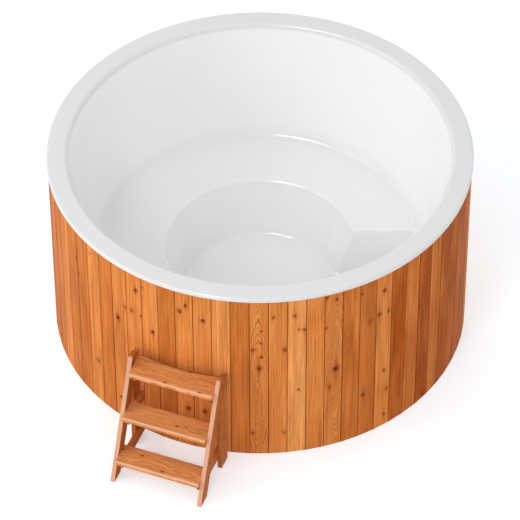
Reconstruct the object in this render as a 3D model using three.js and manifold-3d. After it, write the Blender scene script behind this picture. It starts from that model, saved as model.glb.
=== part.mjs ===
// Round soaking tub: a white moulded liner inside a ring of upright boards, with a free-standing step.
// Millimetres, +Z up. The origin is on the floor at the tub's axis, and the step stands at -Y.
import * as THREE from 'three';
import { mergeVertices } from 'three/addons/utils/BufferGeometryUtils.js';
import Module from 'manifold-3d';

const wasm = await Module();
wasm.setup();

// Liner
const RIM_RADIUS = 1000;
const RIM_HEIGHT = 1016;
const RIM_WIDTH = 95;
const LIP_DROP = 22;
const LIP_THICKNESS = 4.5;
const SKIN = 8;
const WALL_TAPER = 0.256;
const BENCH_HEIGHT = 401;
const BENCH_FALL = 0.074;
const WELL_RADIUS = 457;
const WELL_TAPER = 0.35;
const FLOOR_HEIGHT = 125;
const RIM_ROUND = 12;
const LIP_ROUND = 9;
const BENCH_ROUND = 14;
const COVE_ROUND = 16;

// The bench is open towards this angle, and its ends run between these angles off it.
const OPENING_ANGLE = 55;
const BENCH_END_INNER = 67.6;
const BENCH_END_OUTER = 61.6;

// Boards, counted from -Y towards +X, and the frame behind them
const BOARD_COUNT = 72;
const BOARDS_PER_PANEL = 6;
const JOINT_ANGLE = 3.4;
const BOARD_THICKNESS = 20;
const GROOVE_WIDTH = 3;
const GROOVE_DEPTH = 2.5;
const RING_WIDTH = 48;
const RING_HEIGHT = 36;
const STUD_COUNT = 6;
const STUD_WIDTH = 45;
const STUD_DEPTH = 36;
const BEARER_WIDTH = 60;
const BEARER_HEIGHT = 45;
const BEARER_INSET = 315;
const DECK_THICKNESS = 18;
const PAD_RADIUS = 660;
const RIB_THICKNESS = 18;
const RIB_ANGLES = [-96, -32, 32, 96];

// Drain line: it runs out under the floor through the middle of one board.
const OUTLET_BOARD = 33;
const DRAIN_OFFSET = 180;
const PIPE_RADIUS = 17;
const PIPE_WALL = 3;
const TAIL_RADIUS = 23.5;
const VALVE_REACH = 56;
const BALL_RADIUS = 16.5;
const BALL_BORE = 11;
const STEM_RADIUS = 5;
const LEVER_LENGTH = 105;

// Step
const TREAD_RISE = 203;
const FIRST_TREAD = 122;
const TREAD_THICKNESS = 26;
const TREAD_DEPTH = 117;
const TREAD_NOSING = 33;
const BATTEN_WIDTH = 23;
const STEP_WIDTH = 452;
const SIDE_THICKNESS = 20;
const SIDE_DEPTH = 75;
const RAKE = 0.4435;
const STEP_DEPTH = 336;
const STEP_STANDOFF = 5;
const STRINGER_TOP = 594;
const RAIL_THICKNESS = 22;
const RAIL_HEIGHT = 45;
const TUB_CLEARANCE = 20;

// Working clearance between neighbouring pieces
const GAP = 0.3;
const ROUND_STEPS = 5;
const FINE_SIDES = 20;
const FAR = 2000;

const group = new THREE.Group();
group.name = 'soaking_tub';

const rad = THREE.MathUtils.degToRad;

// A point of the plan at an angle from -Y towards +X
function polar(angle, radius) {
  return [radius * Math.sin(rad(angle)), -radius * Math.cos(rad(angle))];
}

// An outline given as [x, y, corner radius], with its corners rounded
function rounded(corners, closed = true) {
  const count = corners.length;
  const points = [];
  corners.forEach(([x, y, radius = 0], i) => {
    const corner = new THREE.Vector2(x, y);
    const loose = !closed && (i === 0 || i === count - 1);
    if (radius === 0 || loose) {
      points.push(corner);
      return;
    }
    const [lastX, lastY] = corners[(i + count - 1) % count];
    const [nextX, nextY] = corners[(i + 1) % count];
    const back = new THREE.Vector2(lastX, lastY).sub(corner).normalize();
    const ahead = new THREE.Vector2(nextX, nextY).sub(corner).normalize();
    const half = Math.acos(THREE.MathUtils.clamp(back.dot(ahead), -1, 1)) / 2;
    const turn = Math.sign(ahead.cross(back)) * (Math.PI - 2 * half);
    const toCentre = back.clone().add(ahead).setLength(radius / Math.sin(half));
    const centre = corner.clone().add(toCentre);
    const start = corner.clone().addScaledVector(back, radius / Math.tan(half));
    for (let k = 0; k <= ROUND_STEPS; k += 1) {
      points.push(start.clone().rotateAround(centre, (turn * k) / ROUND_STEPS));
    }
  });
  return points;
}

// A closed three.js geometry as a solid
function solid(geometry) {
  const bare = geometry.clone();
  bare.deleteAttribute('normal');
  bare.deleteAttribute('uv');
  const merged = mergeVertices(bare, 1e-4);
  const index = merged.index.array;
  const kept = [];
  for (let i = 0; i < index.length; i += 3) {
    const [a, b, c] = [index[i], index[i + 1], index[i + 2]];
    if (a !== b && b !== c && c !== a) {
      kept.push(a, b, c);
    }
  }
  return new wasm.Manifold(
    new wasm.Mesh({
      numProp: 3,
      vertProperties: new Float32Array(merged.attributes.position.array),
      triVerts: new Uint32Array(kept),
    }),
  );
}

// Adds one named piece
function piece(name, body) {
  const { vertProperties, triVerts } = body.getMesh();
  const geometry = new THREE.BufferGeometry();
  geometry.setAttribute('position', new THREE.BufferAttribute(new Float32Array(vertProperties), 3));
  geometry.setIndex(new THREE.BufferAttribute(new Uint32Array(triVerts), 1));
  geometry.computeVertexNormals();
  const mesh = new THREE.Mesh(geometry);
  mesh.name = name;
  group.add(mesh);
}

// A profile of [radius, height] turned about the tub's axis, with a facet behind each board
function turned(profile) {
  const lathe = new THREE.LatheGeometry(profile, BOARD_COUNT, rad(JOINT_ANGLE));
  return solid(lathe.rotateX(Math.PI / 2));
}

// A small fitting turned about an upright axis at y
function turnedUp(profile, y) {
  const lathe = new THREE.LatheGeometry(profile, FINE_SIDES);
  return solid(lathe.rotateX(Math.PI / 2).translate(0, y, 0));
}

// A small fitting turned about the drain line; the profile is [radius, distance along it]
function turnedAlong(profile, z) {
  const lathe = new THREE.LatheGeometry(profile, FINE_SIDES);
  return solid(lathe.translate(0, 0, z));
}

// A ring profile between two radii and two heights
function band(inner, outer, low, high) {
  return rounded([[inner, low], [outer, low], [outer, high], [inner, high], [inner, low]], false);
}

// A plug profile that closes on the axis
function plug(outer, low, high) {
  return rounded([[0, low], [outer, low], [outer, high], [0, high]], false);
}

// A plan outline raised from one height to another
function upright(outline, low, high) {
  const shape = new THREE.Shape(outline);
  const geometry = new THREE.ExtrudeGeometry(shape, { depth: high - low, bevelEnabled: false });
  return solid(geometry.translate(0, 0, low));
}

// An outline of [y, z] carried across from one x to another
function across(outline, from, to) {
  const shape = new THREE.Shape(outline);
  const geometry = new THREE.ExtrudeGeometry(shape, { depth: to - from, bevelEnabled: false });
  geometry.applyMatrix4(
    new THREE.Matrix4().makeBasis(
      new THREE.Vector3(0, 1, 0),
      new THREE.Vector3(0, 0, 1),
      new THREE.Vector3(1, 0, 0),
    ),
  );
  return solid(geometry.translate(from, 0, 0));
}

// A box between two corners
function box([x0, y0, z0], [x1, y1, z1]) {
  const geometry = new THREE.BoxGeometry(x1 - x0, y1 - y0, z1 - z0);
  return solid(geometry.translate((x0 + x1) / 2, (y0 + y1) / 2, (z0 + z1) / 2));
}

// A regular hexagon about an upright axis at y
function hexagon(radius, y) {
  return Array.from({ length: 6 }, (_, i) => {
    const [px, py] = polar(i * 60, radius);
    return new THREE.Vector2(px, py + y);
  });
}

// Liner: a turned shell, the bench as a ring cut open at one side, and the hollow under the bench
const skinRun = SKIN * Math.hypot(1, WALL_TAPER);
const wellRun = SKIN * Math.hypot(1, WELL_TAPER);
const wallRadius = (z) => RIM_RADIUS - RIM_WIDTH - (RIM_HEIGHT - z) * WALL_TAPER;
const wellRadius = (z) => WELL_RADIUS - (BENCH_HEIGHT - z) * WELL_TAPER;
const benchHeight = (r) => BENCH_HEIGHT + (r - WELL_RADIUS) * BENCH_FALL;
const slopeToBench = (wallRadius(BENCH_HEIGHT) - WELL_RADIUS) / (1 - WALL_TAPER * BENCH_FALL);
const benchBack = [WELL_RADIUS + slopeToBench, benchHeight(WELL_RADIUS + slopeToBench)];
const lipInner = RIM_RADIUS - LIP_THICKNESS;
const flangeBottom = RIM_HEIGHT - SKIN;
const floorBottom = FLOOR_HEIGHT - SKIN;

const shell = turned(rounded([
  [0, floorBottom],
  [wallRadius(floorBottom) + skinRun, floorBottom, COVE_ROUND + SKIN],
  [wallRadius(flangeBottom) + skinRun, flangeBottom, RIM_ROUND - SKIN],
  [lipInner, flangeBottom],
  [lipInner, RIM_HEIGHT - LIP_DROP],
  [RIM_RADIUS, RIM_HEIGHT - LIP_DROP],
  [RIM_RADIUS, RIM_HEIGHT, LIP_ROUND],
  [wallRadius(RIM_HEIGHT), RIM_HEIGHT, RIM_ROUND],
  [wallRadius(FLOOR_HEIGHT), FLOOR_HEIGHT, COVE_ROUND],
  [0, FLOOR_HEIGHT],
], false));

const coveTop = benchBack[1] + 2 * COVE_ROUND;
const benchProfile = rounded([
  [wellRadius(FLOOR_HEIGHT) - 2 * COVE_ROUND, FLOOR_HEIGHT - SKIN / 2],
  [wallRadius(FLOOR_HEIGHT), FLOOR_HEIGHT - SKIN / 2],
  [wallRadius(coveTop) + SKIN / 2, coveTop],
  [...benchBack, COVE_ROUND],
  [WELL_RADIUS, BENCH_HEIGHT, BENCH_ROUND],
  [wellRadius(FLOOR_HEIGHT), FLOOR_HEIGHT, COVE_ROUND],
]);
const hollowProfile = rounded([
  [wellRadius(0) + wellRun, 0],
  [FAR, 0],
  [FAR, benchHeight(FAR) - SKIN],
  [WELL_RADIUS + wellRun, benchHeight(WELL_RADIUS + wellRun) - SKIN, BENCH_ROUND - SKIN],
]);

// The side of the bench that is left open, moved towards the bench by an amount
function benchOpening(shift) {
  const [innerX, innerY] = polar(BENCH_END_INNER, WELL_RADIUS);
  const [outerX, outerY] = polar(BENCH_END_OUTER, benchBack[0]);
  const slope = (outerY - innerY) / (outerX - innerX);
  const apex = innerY - slope * innerX + shift * Math.hypot(1, slope);
  const side = apex + slope * FAR;
  const outline = rounded([[0, apex], [-FAR, side], [-FAR, -FAR], [FAR, -FAR], [FAR, side]]);
  return upright(outline, -FAR, FAR).rotate([0, 0, OPENING_ANGLE]);
}

const closeProfile = (profile) => [...profile, profile[0].clone()];
const bench = turned(closeProfile(benchProfile)).subtract(benchOpening(0));
const hollow = turned(closeProfile(hollowProfile)).subtract(benchOpening(SKIN));

// Everything on the drain line is made along +Y and turned to its board
const outletAngle = JOINT_ANGLE + ((OUTLET_BOARD + 0.5) * 360) / BOARD_COUNT - 180;
const toOutlet = (body) => body.rotate([0, 0, outletAngle]);
const drainY = -DRAIN_OFFSET;
const drainHole = toOutlet(turnedUp(plug(TAIL_RADIUS + GAP, 0, BENCH_HEIGHT), drainY));

piece('liner', shell.add(bench).subtract(hollow).subtract(drainHole));

// Cladding: boards joined in panels, with a groove at each joint
const boardAngle = 360 / BOARD_COUNT;
const cladRadius = lipInner - GAP;
const cladBack = cladRadius - BOARD_THICKNESS;
const cladTop = flangeBottom - GAP;
const outletFace = cladRadius * Math.cos(rad(boardAngle / 2));
const deckTop = BEARER_HEIGHT + DECK_THICKNESS;
const pipeZ = deckTop + PIPE_RADIUS + PIPE_WALL + GAP;
const pipeHole = toOutlet(turnedAlong(plug(PIPE_RADIUS + GAP, cladBack - RING_WIDTH, FAR), pipeZ));

function panelOutline(first) {
  const outline = [];
  const joint = (i, radius) => new THREE.Vector2(...polar(JOINT_ANGLE + i * boardAngle, radius));
  const last = first + BOARDS_PER_PANEL;
  const shifted = (i, radius, towards, distance) => {
    const along = joint(towards, radius).sub(joint(i, radius)).setLength(distance);
    return joint(i, radius).add(along);
  };
  outline.push(shifted(first, cladRadius - GROOVE_DEPTH, first + 1, GAP / 2));
  for (let i = first; i < last; i += 1) {
    outline.push(shifted(i, cladRadius, i + 1, GROOVE_WIDTH / 2));
    outline.push(shifted(i + 1, cladRadius, i, GROOVE_WIDTH / 2));
    const end = i + 1 === last ? GAP / 2 : 0;
    outline.push(shifted(i + 1, cladRadius - GROOVE_DEPTH, i, end));
  }
  outline.push(shifted(last, cladBack, last - 1, GAP / 2));
  for (let i = last - 1; i > first; i -= 1) {
    outline.push(joint(i, cladBack));
  }
  outline.push(shifted(first, cladBack, first + 1, GAP / 2));
  return outline;
}

for (let first = 0, n = 1; first < BOARD_COUNT; first += BOARDS_PER_PANEL, n += 1) {
  const panel = upright(panelOutline(first), 0, cladTop);
  const holdsOutlet = OUTLET_BOARD >= first && OUTLET_BOARD < first + BOARDS_PER_PANEL;
  piece(`cladding_${String(n).padStart(2, '0')}`, holdsOutlet ? panel.subtract(pipeHole) : panel);
}

// Frame behind the boards
const frameRadius = cladBack - GAP;
const upperRingBottom = flangeBottom - RING_HEIGHT;
const lowerRingTop = deckTop + RING_HEIGHT;
const pipeSlot = toOutlet(box([-PIPE_RADIUS - 8, drainY, deckTop - 1], [PIPE_RADIUS + 8, FAR, floorBottom]));
const ring = (low, high) => turned(band(frameRadius - RING_WIDTH, frameRadius, low, high));
piece('upper_ring', ring(upperRingBottom, flangeBottom));
piece('lower_ring', ring(deckTop, lowerRingTop).subtract(pipeSlot));

for (let i = 0; i < STUD_COUNT; i += 1) {
  const outer = frameRadius - (STUD_WIDTH / 2) * Math.tan(rad(boardAngle / 2));
  const stud = box(
    [-STUD_WIDTH / 2, -outer, lowerRingTop],
    [STUD_WIDTH / 2, STUD_DEPTH - outer, upperRingBottom],
  );
  piece(`stud_${i + 1}`, stud.rotate([0, 0, JOINT_ANGLE + (i * 360) / STUD_COUNT]));
}

// Base under the liner
for (let i = -2; i <= 2; i += 1) {
  const x = (i * (frameRadius - BEARER_INSET)) / 2;
  const reach = Math.abs(x) + BEARER_WIDTH / 2;
  const length = Math.sqrt(frameRadius ** 2 - reach ** 2) - SKIN;
  const bearer = box(
    [x - BEARER_WIDTH / 2, -length, 0],
    [x + BEARER_WIDTH / 2, length, BEARER_HEIGHT],
  );
  piece(`bearer_${i + 3}`, bearer);
}
piece('base_deck', turned(plug(frameRadius, BEARER_HEIGHT, deckTop)));

const nutRadius = TAIL_RADIUS + 14;
const drainPocket = toOutlet(turnedUp(plug(nutRadius + 4, 0, FLOOR_HEIGHT), drainY));
const pad = turned(plug(PAD_RADIUS, deckTop, floorBottom));
piece('floor_pad', pad.subtract(pipeSlot).subtract(drainPocket));

RIB_ANGLES.forEach((angle, i) => {
  const inner = WELL_RADIUS + wellRun + BENCH_ROUND;
  const outer = benchBack[0] - SKIN;
  const under = (r) => benchHeight(r) - SKIN - GAP;
  const outline = rounded([
    [inner, floorBottom],
    [Math.min(outer, PAD_RADIUS), floorBottom],
    [outer, under(outer) - COVE_ROUND],
    [outer, under(outer)],
    [inner, under(inner)],
  ]);
  const rib = across(outline, -RIB_THICKNESS / 2, RIB_THICKNESS / 2);
  piece(`bench_rib_${i + 1}`, rib.rotate([0, 0, OPENING_ANGLE + angle]));
});

// Drain fitting in the floor
const flangeRadius = TAIL_RADIUS + 20;
const flangeTop = FLOOR_HEIGHT + GAP + 4;
const tailBore = TAIL_RADIUS - PIPE_WALL;
const strainer = turnedUp(rounded([
  [0, flangeTop + GAP],
  [flangeRadius - 4, flangeTop + GAP],
  [flangeRadius - 8, flangeTop + 3],
  [0, flangeTop + 5],
], false), drainY);
const strainerHoles = Array.from({ length: 8 }, (_, i) => {
  const [x, y] = polar(i * 45, tailBore * 0.65);
  return turnedUp(plug(3.5, 0, BENCH_HEIGHT), 0).translate([x, y + drainY, 0]);
});
piece('drain_strainer', toOutlet(strainerHoles.reduce((body, hole) => body.subtract(hole), strainer)));

const nutTop = floorBottom - 3 - GAP;
const nutBottom = nutTop - 9;
const tailEnd = deckTop + 16;
piece('drain_body', toOutlet(turnedUp(rounded([
  [tailBore, tailEnd],
  [TAIL_RADIUS, tailEnd],
  [TAIL_RADIUS, FLOOR_HEIGHT + GAP],
  [flangeRadius, FLOOR_HEIGHT + GAP],
  [flangeRadius - 2, flangeTop],
  [tailBore, flangeTop],
  [tailBore, tailEnd],
], false), drainY)));
piece('drain_gasket', toOutlet(turnedUp(band(TAIL_RADIUS + GAP, nutRadius, nutTop, floorBottom), drainY)));
const nutBore = turnedUp(plug(TAIL_RADIUS + GAP, 0, FLOOR_HEIGHT), drainY);
piece('drain_nut', toOutlet(upright(hexagon(nutRadius, drainY), nutBottom, nutTop - GAP).subtract(nutBore)));

// Elbow, pipe and wall flange
const cupRadius = TAIL_RADIUS + 4;
const socketRadius = PIPE_RADIUS + PIPE_WALL;
const pipeStart = drainY + TAIL_RADIUS + 6;
const elbowEnd = drainY + cupRadius + 24;
const cup = turnedUp(plug(cupRadius, deckTop, nutBottom - GAP), drainY);
const cupBore = turnedUp(plug(TAIL_RADIUS + GAP, deckTop + 4, FLOOR_HEIGHT), drainY);
const socket = turnedAlong(plug(socketRadius, drainY, elbowEnd), pipeZ);
const socketBore = turnedAlong(plug(PIPE_RADIUS + GAP, drainY, FAR), pipeZ);
piece('drain_elbow', toOutlet(cup.add(socket).subtract(cupBore).subtract(socketBore)));

const valveY = outletFace + VALVE_REACH;
const valveHalf = 34;
const pipeEnd = valveY - BALL_RADIUS - 5;
const bore = PIPE_RADIUS - PIPE_WALL;
piece('drain_pipe', toOutlet(turnedAlong(band(bore, PIPE_RADIUS, pipeStart, pipeEnd), pipeZ)));
const flangeFace = band(PIPE_RADIUS + GAP, PIPE_RADIUS + 19, outletFace + GAP, outletFace + 6);
piece('outlet_flange', toOutlet(turnedAlong(flangeFace, pipeZ)));

// Ball valve, shut at rest: the bore of the ball lies across the line
const bodyRadius = BALL_RADIUS + 9;
const bonnetTop = pipeZ + bodyRadius + 9;
const valveShell = turnedAlong(rounded([
  [0, valveY - valveHalf],
  [socketRadius + 2, valveY - valveHalf],
  [socketRadius + 2, valveY - BALL_RADIUS - 3],
  [bodyRadius, valveY - BALL_RADIUS + 3],
  [bodyRadius, valveY + BALL_RADIUS - 3],
  [socketRadius, valveY + BALL_RADIUS + 3],
  [socketRadius, valveY + valveHalf],
  [0, valveY + valveHalf],
], false), pipeZ);
const upAt = (profile) => turnedUp(profile, valveY);
const seat = solid(new THREE.SphereGeometry(BALL_RADIUS + GAP, FINE_SIDES, 16).translate(0, valveY, pipeZ));
const waterway = turnedAlong(plug(BALL_BORE, valveY - FAR, valveY + FAR), pipeZ);
const pipeSocket = turnedAlong(plug(PIPE_RADIUS + GAP, valveY - valveHalf - 1, pipeEnd + GAP), pipeZ);
const valveBody = valveShell
  .add(upAt(plug(11, pipeZ, bonnetTop)))
  .subtract(seat)
  .subtract(waterway)
  .subtract(pipeSocket)
  .subtract(upAt(plug(STEM_RADIUS + GAP, pipeZ, FAR)));
piece('valve_body', toOutlet(valveBody));

const ballBore = turnedAlong(plug(BALL_BORE, -FAR, FAR), 0).rotate([0, 0, 90]).translate([0, valveY, pipeZ]);
const ball = solid(new THREE.SphereGeometry(BALL_RADIUS, FINE_SIDES, 16).translate(0, valveY, pipeZ));
piece('valve_ball', toOutlet(ball.subtract(ballBore)));

const leverBottom = bonnetTop + GAP;
const leverTop = leverBottom + 5;
const lockNutTop = leverTop + 6;
piece('valve_stem', toOutlet(upAt(plug(STEM_RADIUS, pipeZ + BALL_RADIUS + GAP, lockNutTop - 1))));
const stemHole = upAt(plug(STEM_RADIUS + GAP, 0, FAR));
const leverOutline = rounded([
  [-13, valveY - 13, 12],
  [LEVER_LENGTH, valveY - 9, 8],
  [LEVER_LENGTH, valveY + 9, 8],
  [-13, valveY + 13, 12],
]);
piece('valve_lever', toOutlet(upright(leverOutline, leverBottom, leverTop).subtract(stemHole)));
const lockNut = upright(hexagon(9, valveY), leverTop + GAP, lockNutTop);
piece('lever_nut', toOutlet(lockNut.subtract(stemHole)));

const tailStart = valveY + valveHalf + GAP;
piece('hose_tail', toOutlet(turnedAlong(rounded([
  [9, tailStart],
  [18, tailStart],
  [18, tailStart + 6],
  [12, tailStart + 8],
  [14.5, tailStart + 18],
  [12, tailStart + 20],
  [14.5, tailStart + 30],
  [12, tailStart + 32],
  [13, tailStart + 44],
  [9, tailStart + 44],
  [9, tailStart],
], false), pipeZ)));

// Step sides: raked stringers, and upright legs cut to the rake
const stepBack = -RIM_RADIUS - STEP_STANDOFF;
const stringerFront = (z) => stepBack - STEP_DEPTH + RAKE * z;
const stringerBack = (z) => stringerFront(z) + SIDE_DEPTH;
const topFall = (SIDE_DEPTH * RAKE) / (1 + RAKE ** 2);
const stringerBackTop = STRINGER_TOP - topFall;
const stringerOutline = rounded([
  [stringerFront(0), 0],
  [stringerBack(0), 0],
  [stringerBack(stringerBackTop), stringerBackTop, 5],
  [stringerFront(STRINGER_TOP), STRINGER_TOP, 28],
]);
const legFront = stepBack - SIDE_DEPTH;
const rakeHeight = (y) => (y - GAP * 2 - stringerBack(0)) / RAKE;
const legTop = Math.min(stringerBackTop, rakeHeight(stepBack));
const legOutline = rounded([
  [legFront, 0],
  [stepBack, 0],
  [stepBack, legTop],
  [stringerBack(legTop) + GAP * 2, legTop],
  [legFront, rakeHeight(legFront)],
]);
const sideOuter = STEP_WIDTH / 2;
const sideInner = sideOuter - SIDE_THICKNESS;
const clearWidth = sideInner - GAP;
const treadTop = (i) => FIRST_TREAD + i * TREAD_RISE;
const bySide = [['left', -1], ['right', 1]];

for (const [side, sign] of bySide) {
  const [from, to] = sign < 0 ? [-sideOuter, -sideInner] : [sideInner, sideOuter];
  piece(`step_stringer_${side}`, across(stringerOutline, from, to));
  piece(`step_leg_${side}`, across(legOutline, from, to));
}

// Treads on side rails; the top one is hollowed at the back to follow the tub
const tubRound = turned(plug(RIM_RADIUS + TUB_CLEARANCE, 0, RIM_HEIGHT));
['bottom', 'middle', 'top'].forEach((level, i) => {
  const top = treadTop(i);
  const bottom = top - TREAD_THICKNESS;
  const front = stringerFront(top) - TREAD_NOSING;
  const depth = i === 0 ? TREAD_DEPTH - BATTEN_WIDTH : TREAD_DEPTH;
  const back = i === 2 ? stepBack : front + depth;
  const outline = rounded([
    [front, bottom, 6],
    [back, bottom],
    [back, top, 2],
    [front, top, 10],
  ]);
  const tread = across(outline, -clearWidth, clearWidth);
  piece(`step_tread_${level}`, i === 2 ? tread.subtract(tubRound) : tread);
  if (i === 0) {
    const batten = rounded([
      [back + GAP, bottom],
      [back + BATTEN_WIDTH, bottom],
      [back + BATTEN_WIDTH, top, 3],
      [back + GAP, top, 3],
    ]);
    piece('step_batten', across(batten, -clearWidth, clearWidth));
  }
  for (const [side, sign] of bySide) {
    const [from, to] = sign < 0 ? [-clearWidth, RAIL_THICKNESS - clearWidth]
      : [clearWidth - RAIL_THICKNESS, clearWidth];
    const rail = box(
      [from, stringerFront(bottom) + 12, bottom - GAP - RAIL_HEIGHT],
      [to, stepBack - 4, bottom - GAP],
    );
    piece(`step_rail_${level}_${side}`, rail);
  }
});

export default group;
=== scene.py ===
import math
import random
from functools import partial

import bpy
import numpy as np
from mathutils import Matrix, Vector


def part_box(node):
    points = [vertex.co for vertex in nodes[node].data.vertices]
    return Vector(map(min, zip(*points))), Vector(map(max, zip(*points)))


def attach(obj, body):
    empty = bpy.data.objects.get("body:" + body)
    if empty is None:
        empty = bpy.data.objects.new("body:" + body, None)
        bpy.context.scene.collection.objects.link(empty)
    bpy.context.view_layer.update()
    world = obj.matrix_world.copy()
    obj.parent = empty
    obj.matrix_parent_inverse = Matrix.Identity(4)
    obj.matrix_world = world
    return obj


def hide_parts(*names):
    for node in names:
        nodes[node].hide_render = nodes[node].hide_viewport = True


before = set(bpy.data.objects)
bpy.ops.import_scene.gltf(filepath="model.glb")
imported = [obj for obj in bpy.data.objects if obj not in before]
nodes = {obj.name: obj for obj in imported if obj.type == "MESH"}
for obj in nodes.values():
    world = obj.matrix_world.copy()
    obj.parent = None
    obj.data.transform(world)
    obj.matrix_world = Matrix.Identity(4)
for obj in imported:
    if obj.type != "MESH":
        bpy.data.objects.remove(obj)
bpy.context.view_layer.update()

UPRIGHT = Vector((0, 0, 1))
SIDEWARDS = Vector((1, 0, 0))
LEVEL = Vector((0, 1, 0))

# Camera: it stands at this azimuth and elevation from the tub, and sees a square frame
CAMERA_AZIMUTH = math.radians(21.3)
CAMERA_ELEVATION = 0.7694
CAMERA_DISTANCE = 16.8526
CAMERA_AIM = (-0.0009, 0.0, 0.2955)
CAMERA_ROLL = -0.0027
CAMERA_LENS = 242.1
CAMERA_FILM = 36.0
CAMERA_REACH = 100.0

# Light of the surroundings on the object, and the floor's own light in the picture
AMBIENT = 0.79
FLOOR_GLOW = 0.41

# Floor: half its side, its colours in the picture, and its colour as it lights the object
FLOOR_SIZE = 30.0
FLOOR_SEEN = [(0.72, 0.79, 0.85), (0.74, 0.81, 0.87)]
FLOOR_BOUNCE = (0.79, 0.79, 0.79)

# Lamps: degrees right of the camera and up, distance, size, power, and whether they do more than gloss
LIGHTS = [
    ("side_light", -75.0, 28.0, 12.0, (6.0, 6.0), 270.0, True),
    ("front_light", -22.0, 42.0, 12.0, (3.0, 3.0), 220.0, True),
    ("glint", -34.0, 45.0, 12.0, (7.0, 0.5), 740.0, False),
]

# Liner
RIM_RADIUS = 0.9995
RIM_HEIGHT = 1.016
RIM_INNER = 0.905
LIP_BOTTOM = 0.994
LIP_INNER = 0.9955
FLANGE_BOTTOM = 1.008
FLANGE_INNER = 0.93
WALL_TAPER = 0.256
BENCH_HEIGHT = 0.401
BENCH_FALL = 0.074
WELL_RADIUS = 0.457
WELL_TAPER = 0.35
FLOOR_HEIGHT = 0.125
RIM_ROUND = 0.012
LIP_ROUND = 0.009
BENCH_ROUND = 0.014
CORNER_ROUND = 0.018
COVE_ROUND = 0.016
OPENING_ANGLE = math.radians(55)
END_APEX = 0.150
END_SLOPE = -0.767
END_DRAFT = 0.06

# Eased bottom edge of the lip, and how far the liner laps over the drain's flange
LIP_EASE = 0.002
DRAIN_LAP = 0.012

# Mesh of the liner: its finest steps round the tub and outwards, how near to a bend they are used, and how
# many times wider the steps become elsewhere
COLUMN_STEP = math.radians(0.35)
COLUMN_REACH = math.radians(2.5)
RING_STEP = 0.0012
RING_REACH = 0.012
RING_START = 0.01
STEP_GROWTH = 8
LIP_ROWS = 7

# Columns of the mesh follow the end of the bench: the radius from which they do, the radius at which they
# stand at their own angles, and how near to the end they follow it in full
END_START = 0.3
END_RADIUS = 0.6
END_MARGIN = 0.2

# Search for the liner's height by halving: margin below and above it, and number of halvings
HEIGHT_MARGIN = 0.02
HALVINGS = 40

# Boards
BOARD_COUNT = 72
BOARDS_PER_PANEL = 6
JOINT_ANGLE = math.radians(3.4)
BOARD_OUTER = 0.9952
BOARD_FACE = BOARD_OUTER * math.cos(math.pi / BOARD_COUNT)
BOARD_THICKNESS = 0.02
BOARD_TOP = 1.0077
BOARD_GAP = 0.0002
BOARD_UNEVEN = 0.0005
BOARD_ROWS = 21
CHAMFER = 0.0016
OUTLET_BOARD = 33
PIPE_RADIUS = 0.0175
DRILL_SIDES = 48
DRILL_DEPTH = 0.2

# Step: run of the stringers for each metre of rise, direction that the tread noses face, and the radius
# about the tub to which the top tread is hollowed at the back
STEP_RAKE = 0.4435
TREAD_NOSE = (0, -0.8, 0.6)
TREAD_HOLLOW = 1.020

# Edges: bends above these angles are eased, or stay sharp in shading, and how far each kind is eased
EASE_ANGLE = math.radians(40)
SHARP_ANGLE = math.radians(32)
EASE_SEGMENTS = 3
TIMBER_EASE = 0.0015
SHEET_EASE = 0.0008
METAL_EASE = 0.0006
PIPE_EASE = 0.0005
LEVER_EASE = 0.0012

# Seeds of what is left to chance, and the range from which a piece of timber draws its own
BOARD_SEED = 5
STEP_SEED = 11
FRAME_SEED = 3
TIMBER_SEEDS = (0, 50)

# Tones of the boards in view, from dark red to pale honey, with painted shade: boards turned away from the
# lamps, mostly on the right, are given darker tones. Boards are counted from the first joint
BOARD_TONE_AND_SHADE = {
    0.00: (13, 15),
    0.08: (-13, 11, 16, 17, 18),
    0.27: (-14, -12, -11, -9, -8, -6, -2, 2, 8, 9, 12, 14),
    0.48: (-10, -7, -5, -4, -3, -1, 0, 3, 4, 6, 7, 10),
    0.66: (1,),
    0.82: (5,),
}

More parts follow.
